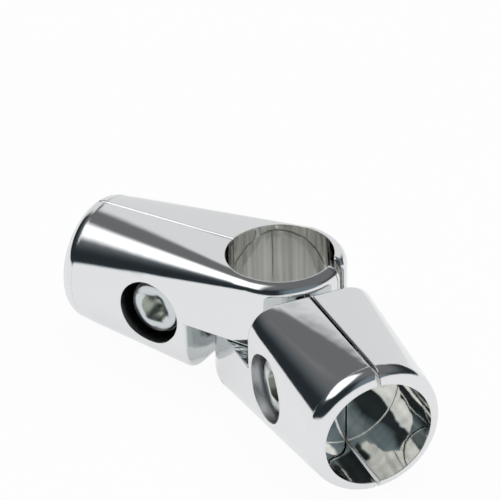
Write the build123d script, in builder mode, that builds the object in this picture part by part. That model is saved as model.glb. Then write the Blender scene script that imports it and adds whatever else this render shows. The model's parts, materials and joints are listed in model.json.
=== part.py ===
from build123d import *
import os

# Swivel joint for 25 mm round tube, in millimetres.
# Two equal clamp arms are stacked on one upright tube and swivel about it. Each arm is two cast halves,
# with a half-height ring round the upright at one end and a round tube socket at the other, and one
# cap screw and nut close both of its clamps. The lower arm is the upper arm turned upside down.
# Origin: where the upright's axis crosses the arms' mid-height. +Z runs up the upright, and +X runs out
# of the upper arm's socket.
# An arm is drawn in its own frame: x out along the arm, y towards the screw's head, z towards its ring.

# Tube and clamp walls
tube_diameter = 25.0
tube_clearance = 0.1            # radial, between a tube and its bore
clamp_wall = 2.9                # round the upright
mouth_lip = 0.1                 # more than that at the socket's mouth

# Arm
ring_height = 16.55             # from the gap between the two rings to the ring's outer face
ring_gap = 0.3                  # between the two stacked rings
arm_back = 14.4                 # mid-height to the arm's other face, over the upright's axis
ring_clearance = 1.0            # from the other arm's ring to the shoulder beside it
shoulder_wall = 2.1             # between the shoulder and the screw's counterbore
socket_floor_wall = 1.4         # between the counterbore and the bottom of the socket
socket_depth = 16.5
rest_angle = 145.6              # from the upper arm to the lower arm, about +Z

# Edges of the castings
skin_corner = 3.2               # long edges of the arm, over the upright's axis
nose_corner = 3.0               # outer edge of the ring, round the upright
mouth_rounding = 2.0
shoulder_rounding = 1.0
nose_rounding = 0.8
seam_bevel = 0.3

# Parting of the two halves
upper_seam = 0.2                # left between the halves at the tightness shown
lower_seam = 0.45
nose_lap = 1.5                  # how far the head-side half wraps past the mid-plane at the ring's nose
nose_gap = 2.7                  # between the halves' ends at the nose

# Clamp screw, M8 by 20, and its nut
screw_diameter = 8.0
screw_length = 20.0
head_diameter = 13.0
head_height = 8.0
head_edge = 0.6
hex_key = 6.0
hex_depth = 4.0
tip_chamfer = 1.0
nut_width = 13.0                # across flats
nut_height = 6.8
nut_edge = 0.6
thread_clearance = 0.05         # radial, between the plain shank and the plain nut
hole_clearance = 0.5            # radial, between the shank and the castings
head_clearance = 1.5            # radial, between the head and its counterbore
nut_clearance = 0.15            # each side, between the nut and its pocket
clamp_web = 5.2                 # mid-plane to the seat of the head, and to the seat of the nut

# Worked out from the sizes above
bore_radius = tube_diameter / 2 + tube_clearance
ring_radius = bore_radius + clamp_wall
ring_face = ring_gap / 2 + ring_height
shoulder = ring_radius + ring_clearance
counterbore_radius = head_diameter / 2 + head_clearance
screw_reach = shoulder + shoulder_wall + counterbore_radius
socket_floor = screw_reach + counterbore_radius + socket_floor_wall
arm_reach = socket_floor + socket_depth
skin_reach = arm_reach - mouth_rounding - mouth_lip
beyond = arm_reach + ring_radius  # clears the arm on every side, for cutting tools
upper_arm = Plane.XY
lower_arm = Plane((0, 0, 0), x_dir=Vector(1, 0, 0).rotate(Axis.Z, rest_angle), z_dir=(0, 0, -1))


def long_edge(root_height):
    """Direction of the arm's long edges on one side, from their height over the upright's axis."""
    mouth_height = ring_radius if root_height > 0 else -ring_radius
    return Vector(skin_reach, 0, mouth_height - root_height).normalized()


def long_corner(side, root_height):
    """One long corner of the arm: the plane that clips it, and the cone that rounds it off.

    The corner's radius grows along the edge until the four corners meet in the round mouth.
    """
    up = 1 if root_height > 0 else -1
    edge = long_edge(root_height)
    growth = (ring_radius - skin_corner) / skin_reach * edge.X
    outward = Vector(0, side, 0)
    upward = Vector(-edge.Z, 0, edge.X) * up
    apex = Vector(0, side * ring_radius, root_height) - edge * (skin_corner / growth)
    clip = Plane(apex, x_dir=edge - outward * growth, z_dir=outward + upward + edge * growth)
    cone_radius = beyond * growth / (1 + growth**2) ** 0.5
    with BuildPart() as cone:
        with Locations(Plane(apex, z_dir=edge - (outward + upward) * growth)):
            Cone(0, cone_radius, beyond, align=(Align.CENTER, Align.CENTER, Align.MIN))
        with BuildSketch(Plane.XZ) as skin_length:
            Rectangle(skin_reach, 2 * beyond, align=(Align.MIN, Align.CENTER))
        extrude(amount=beyond, both=True, mode=Mode.INTERSECT)
        split(bisect_by=clip, keep=Keep.TOP)
    return clip, cone.part


# The clamp arm, before it is parted into two halves
with BuildPart() as arm:
    # The skin is a wedge with rounded corners, which runs into the round mouth
    with BuildSketch(Plane.XZ) as wedge:
        with BuildLine():
            Polyline(
                (0, -arm_back), (skin_reach, -ring_radius), (skin_reach, ring_radius), (0, ring_face), close=True
            )
        make_face()
    extrude(amount=ring_radius, both=True)
    corners = [long_corner(side, height) for side in (1, -1) for height in (ring_face, -arm_back)]
    for clip, cone in corners:
        split(bisect_by=clip, keep=Keep.BOTTOM)
    add([cone for clip, cone in corners])
    with BuildSketch(Plane.YZ.offset(skin_reach)) as mouth_section:
        Circle(ring_radius + mouth_lip)
    extrude(amount=mouth_rounding + mouth_lip)
    mouth_face = arm.faces().sort_by(Axis.X)[-1]
    fillet(mouth_face.edges(), mouth_rounding)

    # Room for the other arm's ring, up to the shoulder
    with BuildSketch(Plane.XZ) as under_ring:
        with Locations((shoulder, ring_gap / 2)):
            Rectangle(2 * shoulder, beyond, align=(Align.MAX, Align.MAX))
    extrude(amount=beyond, both=True, mode=Mode.SUBTRACT)
    shoulder_face = arm.faces().filter_by(Plane.YZ).sort_by(Axis.X)[1]
    fillet(shoulder_face.edges().sort_by(Axis.Z)[:-1], shoulder_rounding)

    # The ring's nose carries the same section round the upright
    with BuildSketch(Plane.YZ) as nose_section:
        with Locations((0, ring_gap / 2)):
            Rectangle(ring_radius, ring_height, align=(Align.MIN, Align.MIN))
        outer_corners = nose_section.vertices().group_by(Axis.X)[-1]
        fillet(outer_corners.sort_by(Axis.Y)[-1], nose_corner)
    revolve(axis=Axis.Z, revolution_arc=180)

    # The two bores
    Hole(bore_radius)
    with BuildSketch(Plane.YZ.offset(socket_floor)) as socket_section:
        Circle(bore_radius)
    extrude(amount=beyond, mode=Mode.SUBTRACT)


def casting_half(side, seam):
    """One half of the arm with its screw hole: side 1 takes the screw's head, and side -1 the nut."""
    body_cut = side * seam / 2
    nose_cut = -nose_lap if side > 0 else -nose_lap - nose_gap
    away = Align.MAX if side > 0 else Align.MIN
    seat = Plane((screw_reach, side * clamp_web, 0), x_dir=(1, 0, 0), z_dir=(0, side, 0))
    with BuildPart() as half:
        add(arm.part)
        with BuildSketch() as other_side:
            with Locations((0, body_cut)):
                Rectangle(beyond, beyond, align=(Align.MIN, away))
            with Locations((0, nose_cut)):
                Rectangle(beyond, beyond, align=(Align.MAX, away))
        extrude(amount=beyond, both=True, mode=Mode.SUBTRACT)

        nose_face = half.faces().filter_by(Plane.XZ).sort_by(Axis.X)[0]
        fillet(nose_face.edges(), nose_rounding)
        for root_height in (ring_face, -arm_back):
            with BuildSketch(Plane.YZ) as seam_edge:
                with Locations((body_cut, root_height)):
                    RegularPolygon(seam_bevel, 4)
            extrude(amount=beyond, dir=long_edge(root_height), mode=Mode.SUBTRACT)

        with BuildSketch(seat) as screw_hole:
            Circle(screw_diameter / 2 + hole_clearance)
        extrude(amount=beyond, both=True, mode=Mode.SUBTRACT)
        with BuildSketch(seat) as pocket:
            if side > 0:
                Circle(counterbore_radius)
            else:
                RegularPolygon(nut_width / 2 + nut_clearance, 6, major_radius=False)
        extrude(amount=beyond, mode=Mode.SUBTRACT)
    return half.part


# Cap screw, drawn in the arm's frame with its head towards +y
head_seat = Plane((screw_reach, clamp_web, 0), x_dir=(1, 0, 0), z_dir=(0, 1, 0))
with BuildPart() as clamp_screw:
    with BuildSketch(head_seat) as head_section:
        Circle(head_diameter / 2)
    extrude(amount=head_height)
    head_top = clamp_screw.faces().sort_by(Axis.Y)[-1]
    chamfer(head_top.edges(), head_edge)
    with BuildSketch(head_seat) as shank_section:
        Circle(screw_diameter / 2)
    extrude(amount=-screw_length)
    tip = clamp_screw.faces().sort_by(Axis.Y)[0]
    chamfer(tip.edges(), tip_chamfer)
    with BuildSketch(head_seat.offset(head_height)) as key_section:
        RegularPolygon(hex_key / 2, 6, major_radius=False)
    extrude(amount=-hex_depth, mode=Mode.SUBTRACT)

# Hex nut, in the pocket of the other half
nut_seat = Plane((screw_reach, -clamp_web, 0), x_dir=(1, 0, 0), z_dir=(0, -1, 0))
with BuildPart() as clamp_nut:
    with BuildSketch(nut_seat) as nut_section:
        RegularPolygon(nut_width / 2, 6, major_radius=False)
    extrude(amount=nut_height)
    with BuildSketch(nut_seat) as nut_turning:
        Circle(nut_width / 2 + nut_edge)
    extrude(amount=nut_height, mode=Mode.INTERSECT)
    with BuildSketch(nut_seat) as nut_hole:
        Circle(screw_diameter / 2 + thread_clearance)
    extrude(amount=nut_height, mode=Mode.SUBTRACT)

os.makedirs("parts", exist_ok=True)
for name, place, seam in (("upper", upper_arm, upper_seam), ("lower", lower_arm, lower_seam)):
    pieces = {
        "head_side_half": casting_half(1, seam),
        "nut_side_half": casting_half(-1, seam),
        "clamp_screw": clamp_screw.part,
        "clamp_nut": clamp_nut.part,
    }
    for piece, shape in pieces.items():
        with BuildPart() as placed:
            with Locations(place):
                add(shape)
        placed.part.label = f"{name}_{piece}"
        export_step(placed.part, f"parts/{name}_{piece}.step")
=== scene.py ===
import json
import math

import bmesh
import bpy
from mathutils import Matrix, Vector


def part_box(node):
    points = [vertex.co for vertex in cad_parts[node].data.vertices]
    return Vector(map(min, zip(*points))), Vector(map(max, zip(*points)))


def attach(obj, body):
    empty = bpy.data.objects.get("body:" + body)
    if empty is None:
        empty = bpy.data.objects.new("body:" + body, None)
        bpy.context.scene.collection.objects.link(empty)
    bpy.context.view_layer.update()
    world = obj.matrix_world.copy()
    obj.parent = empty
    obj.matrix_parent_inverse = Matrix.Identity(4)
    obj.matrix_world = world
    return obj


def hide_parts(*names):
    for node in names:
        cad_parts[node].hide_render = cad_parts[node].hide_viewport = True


# Looks for the swivel joint: chrome castings, zinc-plated screws and nuts, and a plain studio.
# Lengths are in metres, in the part's own frame, unless a name or a comment says millimetres.
# An arm has its own axes too: out along the arm, aside towards its screw's head, and up towards
# its ring.

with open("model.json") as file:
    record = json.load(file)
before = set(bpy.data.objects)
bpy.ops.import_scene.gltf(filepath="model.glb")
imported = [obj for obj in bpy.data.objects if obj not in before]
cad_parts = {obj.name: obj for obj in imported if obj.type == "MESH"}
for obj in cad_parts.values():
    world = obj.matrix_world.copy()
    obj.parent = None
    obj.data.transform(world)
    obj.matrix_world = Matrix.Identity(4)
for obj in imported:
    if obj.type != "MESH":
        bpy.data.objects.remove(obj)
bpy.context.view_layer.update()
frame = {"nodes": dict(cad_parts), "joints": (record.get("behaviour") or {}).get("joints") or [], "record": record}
mounts = {mount["name"]: mount for mount in frame["record"]["mounts"]}
joints = {joint["name"]: joint for joint in frame["joints"]}
arms = ("upper", "lower")
MM = 0.001
white = (1.0, 1.0, 1.0, 1.0)

# Castings' finish, with heights and distances in millimetres
polished_colour = (0.80, 0.81, 0.82, 1.0)
polished_roughness = 0.09
bore_plate_and_painted_light = (0.87, 0.87, 0.84, 1.0)           # plated like the outside, and lighter: painted light that brightens the bores
bore_roughness = 0.05
painted_band_colour = (0.66, 0.67, 0.65, 1.0)         # painted reflection: darker bands in the bores, where the streaks' bumps also run
streak_share = (0.3, 0.65)                      # of the noise, between which the painted bands' colour changes
streak_height = {"bore": 0.04, "shoulder": 0.16}
streak_scale = 0.35                             # changes in a millimetre
streak_detail = 1.5
streak_stretch = 0.05                           # how much slower they change lengthways
shoulder_painted_shade = (0.70, 0.73, 0.73, 1.0)       # painted shade: darker on the flat faces around the other arm's ring
shoulder_roughness = 0.11
parting_colour = (0.25, 0.25, 0.25, 1.0)        # of the faces where the two halves meet
parting_roughness = 0.40
recess_painted_shade = {"upper": 0.16, "lower": 0.85}   # painted shade in the counterbore, much darker in the upper arm
recess_roughness = 0.35
bore_margin = 0.05                              # how far each finish reaches past its faces
floor_margin = 0.1
face_margin = 0.06
edge_margin = 0.04
rim_margin = 0.2
edge_softness = 0.45                            # how far the plate rounds a sharp edge
edge_samples = 6
swell_height = 0.03                             # of the casting's uneven skin
swell_scale = 100.0                             # changes in a metre, as for pits and grain
swell_detail = 2.0
cloud_height = {"upper": 0.02, "lower": 0.12}   # more of it near the seam, until it fades out
cloud_reach = (4.0, 9.0)
crown_height = {"upper": 0.03, "lower": 0.70}   # of the slightly round top, beside the seam
crown_width = 10.0
pit_height = 0.05
pit_scale = 160.0
pit_size = (0.02, 0.03)                         # radius and soft edge, for cells of size 1
pitless_share = 0.80                            # of the cells
pitless_edge = 0.01

# Screws and nuts, with lengths in millimetres
zinc_colour = (0.66, 0.70, 0.72, 1.0)
zinc_roughness = 0.25
key_painted_shade = (0.40, 0.44, 0.38, 1.0)            # painted shade inside the hexagon
key_dullness = 0.1                              # more roughness there
key_radius = 3.5
key_floor = 9.1                                 # from the arm's middle
turned_scale = (6.0, 0.5)                       # of the lathe's rings, from the axis and along it
turned_height = 0.004
grain_scale = 900.0
grain_detail = 3.0
grain_height = 0.01
head_height = 8.0
head_radius = 6.5
head_chamfer = 0.8                              # plain, above the ridges
shank_radius = 4.0
core_radius = 3.25                              # of the shank, under the thread
thread_pitch = 1.25
thread_size = 0.72                              # from the middle of the section to the crest
thread_runout = 1.0                             # plain, at each end of the shank
thread_segments = 24                            # in a turn
knurl_ridges = 60
knurl_size = 0.16
sharp_angle = 35.0                              # degrees

# Castings' sizes, in millimetres
bore_radius = mounts["upright_clamp"]["dims"]["r_mm"]
screw_reach = Vector(joints["upper_screw_turn"]["pos_m"]).length / MM
socket_middle = Vector(mounts["upper_socket"]["pos_m"]).length / MM
socket_floor = socket_middle - mounts["upper_socket"]["dims"]["length_mm"] / 2
half_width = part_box("upper_head_side_half")[1][1] / MM
counterbore_radius = 8.0
ring_base = 0.15                # of the ring's flat underside, above the arm's middle
shoulder_reach = 16.5
shoulder_top = 0.1
half_seam = {"upper": 0.10, "lower": 0.225}
mouth_radius = 15.6
mouth_reach = 52.5
mouth_rounding = 2.0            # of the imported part
packed_lip = mouth_reach - mouth_rounding
lip_width = 2.8                 # of the lip as finished, across and along the arm
lip_depth = 3.6
lip_run = 4.0                   # of the skin that makes room for the lip
seam_easing = 0.3               # more room between the halves, at the mouth
seam_reach = 1.0                # within which a place belongs to the seam
skin_slope = 0.11               # of the cones, out along the arm
step_width = 0.11               # of the widest step where the cones meet the ring or the lip
facet_area = 2.0                # square millimetres, of the largest facet of a round surface
smooth_limit = math.cos(math.radians(20.0))
weld_distance = 0.001
same_place = 0.01               # places closer than this are at the same reach
near_surface = 0.1              # places closer than this are on the same round surface

# Camera, with angles in degrees and the focal length in millimetres
aim = Vector((0.0052, 0.0034, 0.0188))
camera_azimuth = 123.16
camera_elevation = 31.41
camera_roll = -1.35
camera_distance = 0.5466
focal_length = 172.4
sensor_width = 36.0
shift_across = -0.0045
shift_up = -0.0095

# Studio, with angles in degrees. A height in the sky is the upward part of its direction.
floor_height = -0.0167
floor_reach = 4.0
floor_white = 0.90
camera_lift = 0.95              # share of plain white that the camera sees in the floor
mirror_lift = 0.75              # the same, as metal shows the floor
ring_shade = 3.0                # millimetres around the upright's hole, where the floor is shaded
ring_shadow = 0.70
room_low = 0.028                # light level of the room, low down and high up
room_high = 0.165
low_tint = (0.78, 1.0, 1.13, 1.0)
high_tint = (0.98, 1.0, 1.02, 1.0)
climb_rise = (0.25, 0.66)       # between which the room grows light, upwards and to the back
climb_back = (-0.05, 0.45)
climb_elevation = 45.0
bank_level = 1.6                # bank of lamps overhead, and its ends for a bank at unit height
bank_along = (0.15, 1.15)
bank_towards = (0.04, 1.12)
bank_edge = 0.26
bank_lowest = 0.001             # the least height at which it's worked out
cove_level = 0.92               # white cove where the floor curves up, far off
cove_azimuth = 178.0            # where it is highest
cove_rise = (-0.04, 0.10, 0.36) # its height on the other side, in between, and there
cove_climb = ((-1.0, -0.45), (0.3, 0.95))       # between which it goes from one to the next
cove_edge = 0.08
haze_level = 0.22               # light wall beyond the highest part of the cove
haze_azimuth = 162.0
haze_elevation = 30.0
haze_spread = (0.72, 0.96)
paper_level = 0.80              # lit paper behind the object
paper_distance = 0.196
paper_top = 0.177
paper_width = 0.30
paper_edge = 0.06
fill_strength = 1.5             # one soft lamp, from overhead
fill_angle = 60.0
fill_tilt = (12.0, -8.0, 0.0)


# Node trees --------------------------------------------------------------------------------------

class Value:
    """A node's socket that takes part in Python expressions, each of which adds a Math node."""

    def __init__(self, nodes, socket):
        self.nodes = nodes
        self.socket = socket

    def maths(self, operation, *values):
        return self.nodes.node("ShaderNodeMath", {"operation": operation}, dict(enumerate(values)))

    def __add__(self, other):
        return self.maths("ADD", self, other)

    def __radd__(self, other):
        return self.maths("ADD", other, self)

    def __sub__(self, other):
        return self.maths("SUBTRACT", self, other)

    def __rsub__(self, other):
        return self.maths("SUBTRACT", other, self)

    def __mul__(self, other):
        return self.maths("MULTIPLY", self, other)

    def __rmul__(self, other):
        return self.maths("MULTIPLY", other, self)

    def __truediv__(self, other):
        return self.maths("DIVIDE", self, other)

    def __rtruediv__(self, other):
        return self.maths("DIVIDE", other, self)

    def __pow__(self, other):
        return self.maths("POWER", self, other)

    def __rpow__(self, other):
        return self.maths("POWER", other, self)

    def __abs__(self):
        return self.maths("ABSOLUTE", self)

    def at_least(self, other):
        return self.maths("MAXIMUM", self, other)

    def at_most(self, other):
        return self.maths("MINIMUM", self, other)


class Nodes:
    """A node tree with one method that makes any node and wires or sets its sockets."""

    def __init__(self, tree):
        self.tree = tree
        tree.nodes.clear()

    def node(self, kind, settings=None, sockets=None, output=0):
        """Makes a node. A socket takes a value, a link or a list of links."""
        node = self.tree.nodes.new(kind)
        for name, setting in (settings or {}).items():
            setattr(node, name, setting)
        for name, value in (sockets or {}).items():
            links = value if isinstance(value, list) else [value]
            if isinstance(links[0], Value):
                for link in links:
                    self.tree.links.new(link.socket, node.inputs[name])
            else:
                node.inputs[name].default_value = value
        if node.outputs:
            return Value(self, node.outputs[output])

    def along(self, place, axis):
        """How far a place goes along an axis."""
        return self.node(
            "ShaderNodeVectorMath", {"operation": "DOT_PRODUCT"}, {0: place, 1: axis}, "Value"
        )

    def blend(self, share, first, second):
        """A colour that goes from the first to the second as the share goes from 0 to 1."""
        colours = {0: share, 6: first, 7: second}
        return self.node("ShaderNodeMix", {"data_type": "RGBA"}, colours, 2)

    def noise(self, place, scale, detail):
        """Noise from 0 to 1 over a place."""
        return self.node(
            "ShaderNodeTexNoise", {}, {"Vector": place, "Scale": scale, "Detail": detail}
        )


def step(value, low, high):
    """Smooth rise from 0 at low to 1 at high."""
    share = ((value - low) / (high - low)).at_least(0.0).at_most(1.0)
    return share * share * (3.0 - 2.0 * share)


def below(value, limit, soft=0.04):
    """1 below the limit and 0 above it, with a soft edge."""
    return 1.0 - step(value, limit - soft / 2, limit + soft / 2)


def distance(across, up):
    """How far a place is from an axis, from its two offsets."""
    return (across * across + up * up) ** 0.5


def band(value, low, high, soft):
    """1 between low and high, with soft edges."""
    return step(value, low - soft / 2, low + soft / 2) * below(value, high, soft)


def new_material(name):
    """A material, and its node tree."""
    material = bpy.data.materials.new(name)
    material.use_nodes = True
    return material, Nodes(material.node_tree)


# Finishes ----------------------------------------------------------------------------------------

def arm_axes(arm):
    """The arm's own axes: out, aside and up."""
    out = Vector(mounts[f"{arm}_socket"]["axis"])
    aside = Vector(joints[f"{arm}_screw_turn"]["axis"])
    return out, aside, out.cross(aside)


def arm_place(nodes, arm):
    """The place on the object, and the same place along the arm's axes in millimetres."""
    place = nodes.node("ShaderNodeTexCoord", output="Object")
    return place, *(nodes.along(place, axis / MM) for axis in arm_axes(arm))


def casting_finish(arm):
    """Chrome on a die casting: dull and dark where the halves meet, painted shade between the arms and in the
    counterbore, and painted light and reflection bands in the bores.
    """
    material, nodes = new_material(f"{arm} casting chrome")
    place, out, aside, up = arm_place(nodes, arm)

    socket = below(distance(aside, up), bore_radius + bore_margin)
    socket = socket * (1.0 - below(out, socket_floor - floor_margin))
    upright = below(distance(out, aside), bore_radius + bore_margin)
    bore = socket.at_least(upright)
    shoulder_face = below(abs(out - shoulder_reach), face_margin) * below(up, shoulder_top)
    ring_underside = below(abs(up - ring_base), face_margin) * below(out, shoulder_reach)
    shoulder = shoulder_face.at_least(ring_underside)
    parting = below(abs(aside), half_seam[arm] + edge_margin)
    recess = below(distance(out - screw_reach, up), counterbore_radius + edge_margin)
    recess = recess * below(abs(aside), half_width - rim_margin)

    drawn_up = nodes.node("ShaderNodeCombineXYZ", {}, {0: out, 1: aside, 2: up * streak_stretch})
    drawn_out = nodes.node("ShaderNodeCombineXYZ", {}, {0: out * streak_stretch, 1: aside, 2: up})
    upright_streaks = nodes.noise(drawn_up, streak_scale, streak_detail)
    socket_streaks = nodes.noise(drawn_out, streak_scale, streak_detail)
    streaks = socket_streaks * socket + upright_streaks * upright
    # the bores' colour: painted light, with painted reflection bands
    bore_painted_colour = nodes.blend(step(streaks, *streak_share), painted_band_colour, bore_plate_and_painted_light)

    colour = polished_colour
    roughness = polished_roughness
    for mask, other_colour, other_roughness in (
        # painted shade on the faces between the arms
        (shoulder, shoulder_painted_shade, shoulder_roughness),
        (parting, parting_colour, parting_roughness),
        # painted light and painted reflection bands in the bores
        (bore, bore_painted_colour, bore_roughness),
        # painted shade in the counterbore
        (recess, (*[recess_painted_shade[arm]] * 3, 1.0), recess_roughness),
    ):
        colour = nodes.blend(mask, colour, other_colour)
        roughness = roughness + mask * (other_roughness - roughness)

    swell = nodes.noise(place, swell_scale, swell_detail)
    cells = {"Vector": place, "Scale": pit_scale}
    pit = below(nodes.node("ShaderNodeTexVoronoi", {}, cells, "Distance"), *pit_size)
    cell_colour = nodes.node("ShaderNodeTexVoronoi", {}, cells, "Color")
    drawn = nodes.node("ShaderNodeSeparateColor", {}, {0: cell_colour})
    pit = pit * (1.0 - below(drawn, pitless_share, pitless_edge))
    near_seam = 1.0 - step(abs(aside), *cloud_reach)
    skin = swell * (swell_height + near_seam * cloud_height[arm]) - pit * pit_height
    skin = skin + streaks * streak_height["bore"]
    skin = skin + upright_streaks * shoulder * streak_height["shoulder"]
    skin = skin - step(abs(aside), 0.0, crown_width) * crown_height[arm]
    edge = {"Radius": edge_softness * MM}
    rounded = nodes.node("ShaderNodeBevel", {"samples": edge_samples}, edge)
    bump = nodes.node(
        "ShaderNodeBump", {}, {"Height": skin, "Strength": 1.0, "Distance": MM, "Normal": rounded}
    )
    surface = nodes.node(
        "ShaderNodeBsdfPrincipled",
        {},
        {"Base Color": colour, "Metallic": 1.0, "Roughness": roughness, "Normal": bump},
    )
    nodes.node("ShaderNodeOutputMaterial", {}, {"Surface": surface})
    return material


def zinc_finish(arm):
    """Bright zinc plate on steel, with a turned face and painted shade in the hexagon."""
    material, nodes = new_material(f"{arm} zinc plate")
    place, out, aside, up = arm_place(nodes, arm)
    radius = distance(out - screw_reach, up)
    key = below(radius, key_radius) * (1.0 - below(aside, key_floor))
    from_axis, along_axis = turned_scale
    rings = {0: radius * from_axis, 1: aside * along_axis}
    turned = nodes.noise(nodes.node("ShaderNodeCombineXYZ", {}, rings), 1.0, 2.0)
    grain = nodes.noise(place, grain_scale, grain_detail)
    height = turned * turned_height + grain * grain_height
    bump = nodes.node("ShaderNodeBump", {}, {"Height": height, "Strength": 1.0, "Distance": MM})
    surface = nodes.node(
        "ShaderNodeBsdfPrincipled",
        {},
        {
            # painted shade in the hexagon
            "Base Color": nodes.blend(key, zinc_colour, key_painted_shade),
            "Metallic": 1.0,
            "Roughness": zinc_roughness + key * key_dullness,
            "Normal": bump,
        },
    )
    nodes.node("ShaderNodeOutputMaterial", {}, {"Surface": surface})
    return material


chromes = {arm: casting_finish(arm) for arm in arms}
zincs = {arm: zinc_finish(arm) for arm in arms}
for arm, zinc in zincs.items():
    nut = frame["nodes"][f"{arm}_clamp_nut"].data
    nut.materials.clear()
    nut.materials.append(zinc)


# Castings ----------------------------------------------------------------------------------------

def finish_mouth(place):
    """Moves a place near the mouth to the fuller lip, in millimetres in the arm's axes."""
    out, aside, up = place
    radius = math.hypot(aside, up)
    if out < packed_lip - lip_run or radius < bore_radius - near_surface:
        return place
    past_lip = max(out - packed_lip, 0.0)
    if abs(aside) < seam_reach:
        aside += math.copysign(seam_easing * past_lip / mouth_rounding, aside)
    if radius > bore_radius + near_surface:
        turn = math.atan2(past_lip, max(radius - mouth_radius + mouth_rounding, 0.0))
        run = min((out - packed_lip + lip_run) / lip_run, 1.0)
        out -= (lip_depth - mouth_rounding) * (1.0 - math.sin(turn)) * run
        share = 1.0 - (lip_width - mouth_rounding) * (1.0 - math.cos(turn)) / radius
        return Vector((out, aside * share, up * share))
    return Vector((out, aside, up))


def is_step(face, out):
    """Whether a face is a narrow step in the skin, where the cones meet the ring or the lip."""
    reach = [vertex.co.dot(out) / MM for vertex in face.verts]
    return any(
        min(reach) > meeting - step_width and max(reach) < meeting + same_place
        for meeting in (0.0, packed_lip)
    )


def smooth_facing(vertex, normals, out):
    """Evens out the normals of a vertex's corners, also where cones meet the ring and the lip."""
    along = vertex.co.dot(out) / MM
    from_bore = (vertex.co / MM - out * along).length - bore_radius
    facings = {}
    for corner in vertex.link_loops:
        facing = corner[normals].copy()
        curved = corner.face.calc_area() / MM**2 < facet_area
        if curved and abs(along) < same_place:
            facing -= out * facing.dot(out)
        elif curved and along > packed_lip - same_place and from_bore > near_surface:
            facing += out * skin_slope * (1.0 - facing.dot(out))
        if not is_step(corner.face, out):
            facings[corner] = facing.normalized()
    for corner in vertex.link_loops:
        facing = facings.get(corner)
        alike = [
            other for other in facings.values() if not facing or other.dot(facing) > smooth_limit
        ]
        if alike:
            corner[normals] = sum(alike, Vector()).normalized()


def make_casting(arm, side, body):
    """A half of an arm as one closed mesh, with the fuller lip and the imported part's normals."""
    node = f"{arm}_{side}_half"
    source = frame["nodes"][node].data
    axes = Matrix(arm_axes(arm))
    half = bmesh.new()
    half.from_mesh(source)
    normals = half.loops.layers.float_vector.new("facing")
    corners = (corner for face in half.faces for corner in face.loops)
    for corner, normal in zip(corners, source.corner_normals):
        corner[normals] = normal.vector
    bmesh.ops.remove_doubles(half, verts=half.verts, dist=weld_distance * MM)
    for vertex in half.verts:
        smooth_facing(vertex, normals, axes[0])
        vertex.co = axes.transposed() @ finish_mouth(axes @ vertex.co / MM) * MM
    name = f"{arm}_{side}_casting"
    mesh = bpy.data.meshes.new(name)
    half.to_mesh(mesh)
    half.free()
    facing = mesh.attributes["facing"]
    kept = [corner.vector.copy() for corner in facing.data]
    mesh.attributes.remove(facing)
    mesh.polygons.foreach_set("use_smooth", [True] * len(mesh.polygons))
    mesh.normals_split_custom_set(kept)
    mesh.materials.clear()
    mesh.materials.append(chromes[arm])
    piece = bpy.data.objects.new(name, mesh)
    bpy.context.scene.collection.objects.link(piece)
    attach(piece, f"{arm}_{body}")
    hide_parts(node)


for arm in arms:
    make_casting(arm, "head_side", "arm")
    make_casting(arm, "nut_side", "clamp")


# Screws ------------------------------------------------------------------------------------------

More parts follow.
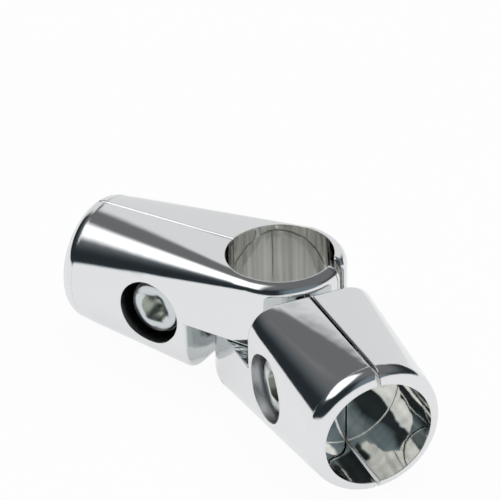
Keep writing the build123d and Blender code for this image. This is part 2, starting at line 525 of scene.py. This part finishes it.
def screw_tree():
    """Adds a thread and a knurl to a screw's core, with its seat at z = 0 and its head above."""
    tree = bpy.data.node_groups.new("thread and knurl", "GeometryNodeTree")
    nodes = Nodes(tree)
    sockets = (
        ("Core", "NodeSocketGeometry"),
        ("Thread Radius", "NodeSocketFloat"),
        ("Thread Size", "NodeSocketFloat"),
        ("Thread Turns", "NodeSocketFloat"),
        ("Thread Pitch", "NodeSocketFloat"),
        ("Thread Top", "NodeSocketFloat"),
        ("Head Radius", "NodeSocketFloat"),
        ("Ridges", "NodeSocketInt"),
        ("Ridge Size", "NodeSocketFloat"),
        ("Ridge Length", "NodeSocketFloat"),
        ("Finish", "NodeSocketMaterial"),
    )
    for name, kind in sockets:
        tree.interface.new_socket(name, in_out="INPUT", socket_type=kind)
    tree.interface.new_socket("Screw", in_out="OUTPUT", socket_type="NodeSocketGeometry")
    given = {name: nodes.node("NodeGroupInput", output=name) for name, kind in sockets}

    middle = given["Thread Radius"] - given["Thread Size"]
    length = given["Thread Turns"] * given["Thread Pitch"]
    helix = nodes.node(
        "GeometryNodeCurveSpiral",
        {},
        {
            "Resolution": thread_segments,
            "Rotations": given["Thread Turns"],
            "Start Radius": middle,
            "End Radius": middle,
            "Height": length,
        },
    )
    helix = nodes.node("GeometryNodeSetCurveNormal", {"mode": "Z_UP"}, {0: helix})
    section = nodes.node(
        "GeometryNodeCurvePrimitiveCircle", {}, {"Resolution": 3, "Radius": given["Thread Size"]}
    )
    swept = {"Curve": helix, "Profile Curve": section, "Fill Caps": True}
    thread = nodes.node("GeometryNodeCurveToMesh", {}, swept)
    drop = nodes.node("ShaderNodeCombineXYZ", {}, {2: given["Thread Top"] - length})
    thread = nodes.node("GeometryNodeTransform", {}, {"Geometry": thread, "Translation": drop})

    ring = nodes.node(
        "GeometryNodeMeshCircle",
        {},
        {"Vertices": given["Ridges"], "Radius": given["Head Radius"] - given["Ridge Size"]},
    )
    ridge = nodes.node(
        "GeometryNodeMeshCylinder",
        {},
        {"Vertices": 4, "Radius": given["Ridge Size"], "Depth": given["Ridge Length"]},
    )
    here = nodes.node("GeometryNodeInputPosition")
    outward = nodes.node("FunctionNodeAlignRotationToVector", {"axis": "X"}, {"Vector": here})
    around = {"Points": ring, "Instance": ridge, "Rotation": outward}
    ridges = nodes.node("GeometryNodeInstanceOnPoints", {}, around)
    lift = nodes.node("ShaderNodeCombineXYZ", {}, {2: given["Ridge Length"] / 2})
    ridges = nodes.node("GeometryNodeTransform", {}, {"Geometry": ridges, "Translation": lift})

    whole = nodes.node("GeometryNodeJoinGeometry", {}, {0: [given["Core"], thread, ridges]})
    whole = nodes.node("GeometryNodeRealizeInstances", {}, {0: whole})
    finished = {"Geometry": whole, "Material": given["Finish"]}
    whole = nodes.node("GeometryNodeSetMaterial", {}, finished)
    nodes.node("NodeGroupOutput", {}, {0: whole})
    return tree


def screw_core(arm, place):
    """The screw's solid with its seat at z = 0, slimmer where the thread and the knurl go."""
    core = bmesh.new()
    core.from_mesh(frame["nodes"][f"{arm}_clamp_screw"].data)
    bmesh.ops.remove_doubles(core, verts=core.verts, dist=weld_distance * MM)
    core.transform(place.inverted())
    for vertex in core.verts:
        radius = vertex.co.xy.length
        if radius > (head_radius - near_surface) * MM:
            vertex.co.xy *= 1.0 - knurl_size / head_radius
        elif vertex.co.z < same_place * MM:
            vertex.co.xy *= core_radius / shank_radius
    mesh = bpy.data.meshes.new("screw core")
    core.to_mesh(mesh)
    core.free()
    return mesh


def make_screw(arm, tree):
    """A screw with its thread and knurl, in place of the plain one.

    The upper screw lies along the frame's own axis, so its box gives the sizes of both.
    """
    out, aside, up = arm_axes(arm)
    low, high = (Vector(corner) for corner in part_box("upper_clamp_screw"))
    seat = out * screw_reach * MM + aside * (high.y - head_height * MM)
    place = Matrix.Translation(seat) @ Matrix((up, out, aside)).transposed().to_4x4()
    shank_length = high.y - low.y - head_height * MM
    thread_length = shank_length - 2 * thread_runout * MM
    given = {
        "Thread Radius": shank_radius * MM,
        "Thread Size": thread_size * MM,
        "Thread Turns": thread_length / (thread_pitch * MM),
        "Thread Pitch": thread_pitch * MM,
        "Thread Top": -thread_runout * MM,
        "Head Radius": head_radius * MM,
        "Ridges": knurl_ridges,
        "Ridge Size": knurl_size * MM,
        "Ridge Length": (head_height - head_chamfer) * MM,
        "Finish": zincs[arm],
    }
    name = f"{arm}_threaded_screw"
    screw = bpy.data.objects.new(name, screw_core(arm, place))
    bpy.context.scene.collection.objects.link(screw)
    details = screw.modifiers.new("thread and knurl", "NODES")
    details.node_group = tree
    for socket in tree.interface.items_tree:
        if socket.name in given:
            details[socket.identifier] = given[socket.name]
    evaluated = screw.evaluated_get(bpy.context.evaluated_depsgraph_get())
    mesh = bpy.data.meshes.new_from_object(evaluated)
    screw.modifiers.remove(details)
    mesh.transform(place)
    mesh.set_sharp_from_angle(angle=math.radians(sharp_angle))
    mesh.name = name
    screw.data = mesh
    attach(screw, f"{arm}_screw")
    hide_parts(f"{arm}_clamp_screw")


thread_and_knurl = screw_tree()
for arm in arms:
    make_screw(arm, thread_and_knurl)


# Studio ------------------------------------------------------------------------------------------

def direction(azimuth, elevation):
    """Unit vector from the object towards a place in the studio, in degrees."""
    turn, rise = math.radians(azimuth), math.radians(elevation)
    level = math.cos(rise)
    return Vector((level * math.cos(turn), level * math.sin(turn), math.sin(rise)))


def floor_finish():
    """A matt white floor that keeps the soft shadow, and is near plain white where it's clear."""
    material, nodes = new_material("white floor")
    matt = nodes.node("ShaderNodeBsdfDiffuse", {}, {"Color": (*[floor_white] * 3, 1.0)})
    camera_ray = nodes.node("ShaderNodeLightPath", output="Is Camera Ray")
    glossy_ray = nodes.node("ShaderNodeLightPath", output="Is Glossy Ray")
    plain = nodes.node("ShaderNodeEmission", {}, {"Strength": 1.0})
    place = nodes.node("ShaderNodeTexCoord", output="Object")
    east, north = (nodes.along(place, Vector(axis) / MM) for axis in ((1, 0, 0), (0, 1, 0)))
    clear = step(distance(east, north), bore_radius, bore_radius + ring_shade)
    clear = 1.0 - ring_shadow * (1.0 - clear)
    lift = camera_ray * camera_lift + glossy_ray * clear * mirror_lift
    surface = nodes.node("ShaderNodeMixShader", {}, {0: lift, 1: matt, 2: plain})
    nodes.node("ShaderNodeOutputMaterial", {}, {"Surface": surface})
    return material


def paper_finish():
    """Lit paper that fades out at its top and its two sides."""
    material, nodes = new_material("lit paper")
    place = nodes.node("ShaderNodeTexCoord", output="Object")
    across = nodes.along(place, (1.0, 0.0, 0.0))
    rise = nodes.along(place, (0.0, 0.0, 1.0))
    there = below(abs(across), paper_width / 2, paper_edge) * below(rise, paper_top, paper_edge)
    lit = nodes.node("ShaderNodeEmission", {}, {"Strength": paper_level})
    clear = nodes.node("ShaderNodeBsdfTransparent")
    surface = nodes.node("ShaderNodeMixShader", {}, {0: there, 1: clear, 2: lit})
    nodes.node("ShaderNodeOutputMaterial", {}, {"Surface": surface})
    return material


def flat(name, corners, finish):
    """A flat piece of the studio."""
    mesh = bpy.data.meshes.new(name)
    mesh.from_pydata(corners, [], [range(len(corners))])
    mesh.materials.append(finish)
    piece = bpy.data.objects.new(name, mesh)
    bpy.context.scene.collection.objects.link(piece)
    return piece


floor_corners = ((-1, -1), (1, -1), (1, 1), (-1, 1))
flat(
    "floor",
    [(x * floor_reach, y * floor_reach, floor_height) for x, y in floor_corners],
    floor_finish(),
)

side, top = paper_width / 2 + paper_edge, paper_top + paper_edge
paper = flat(
    "paper",
    [(-side, 0.0, floor_height), (side, 0.0, floor_height), (side, 0.0, top), (-side, 0.0, top)],
    paper_finish(),
)
paper.location = direction(camera_azimuth + 180.0, 0.0) * paper_distance
paper.rotation_euler = (0.0, 0.0, math.radians(camera_azimuth + 90.0))
paper.visible_camera = False
paper.visible_diffuse = False
paper.visible_shadow = False

world = bpy.data.worlds.new("studio")
bpy.context.scene.world = world
world.use_nodes = True
sky = Nodes(world.node_tree)
look = sky.node("ShaderNodeTexCoord", output="Generated")
east, north, rise = (sky.along(look, axis) for axis in ((1, 0, 0), (0, 1, 0), (0, 0, 1)))
back = sky.along(look, direction(camera_azimuth + 180.0, climb_elevation))
climb = step(rise, *climb_rise) * step(back, *climb_back)
overhead = rise.at_least(bank_lowest)
bank = band(east / overhead, *bank_along, bank_edge)
bank = bank * band(north / overhead, *bank_towards, bank_edge)
towards_cove = sky.along(look, direction(cove_azimuth, 0.0))
cove_top = cove_rise[0]
for reach, lower, higher in zip(cove_climb, cove_rise, cove_rise[1:]):
    cove_top = cove_top + step(towards_cove, *reach) * (higher - lower)
cove = below(rise, cove_top, cove_edge)
haze = step(sky.along(look, direction(haze_azimuth, haze_elevation)), *haze_spread)
level = room_low + (room_high - room_low) * climb
level = level.at_least(haze * haze_level)
level = level + bank * (bank_level - level)
level = level + cove * (cove_level - level)
camera_ray = sky.node("ShaderNodeLightPath", output="Is Camera Ray")
level = level + camera_ray * (1.0 - level)
tint = sky.blend(climb, low_tint, high_tint)
tint = sky.blend(bank.at_least(cove).at_least(camera_ray), tint, white)
backdrop = sky.node("ShaderNodeBackground", {}, {"Color": tint, "Strength": level})
sky.node("ShaderNodeOutputWorld", {}, {"Surface": backdrop})

lamp = bpy.data.lights.new("fill", "SUN")
lamp.energy = fill_strength
lamp.angle = math.radians(fill_angle)
fill = bpy.data.objects.new("fill", lamp)
fill.rotation_euler = [math.radians(angle) for angle in fill_tilt]
fill.visible_glossy = False
bpy.context.scene.collection.objects.link(fill)

scene = bpy.context.scene
scene.view_settings.view_transform = "Standard"


# Camera ------------------------------------------------------------------------------------------

def camera_frame():
    """The camera's place and turn, from its azimuth, elevation and roll about the aim."""
    roll = math.radians(camera_roll)
    back = direction(camera_azimuth, camera_elevation)
    level = direction(camera_azimuth + 90.0, 0.0)
    rise = back.cross(level)
    across = level * math.cos(roll) + rise * math.sin(roll)
    up = rise * math.cos(roll) - level * math.sin(roll)
    turn = Matrix((across, up, back)).transposed().to_4x4()
    return Matrix.Translation(aim + back * camera_distance) @ turn


lens = bpy.data.cameras.new("camera")
lens.lens = focal_length
lens.sensor_width = sensor_width
lens.shift_x = shift_across
lens.shift_y = shift_up
camera = bpy.data.objects.new("camera", lens)
camera.matrix_world = camera_frame()
scene.collection.objects.link(camera)
scene.camera = camera
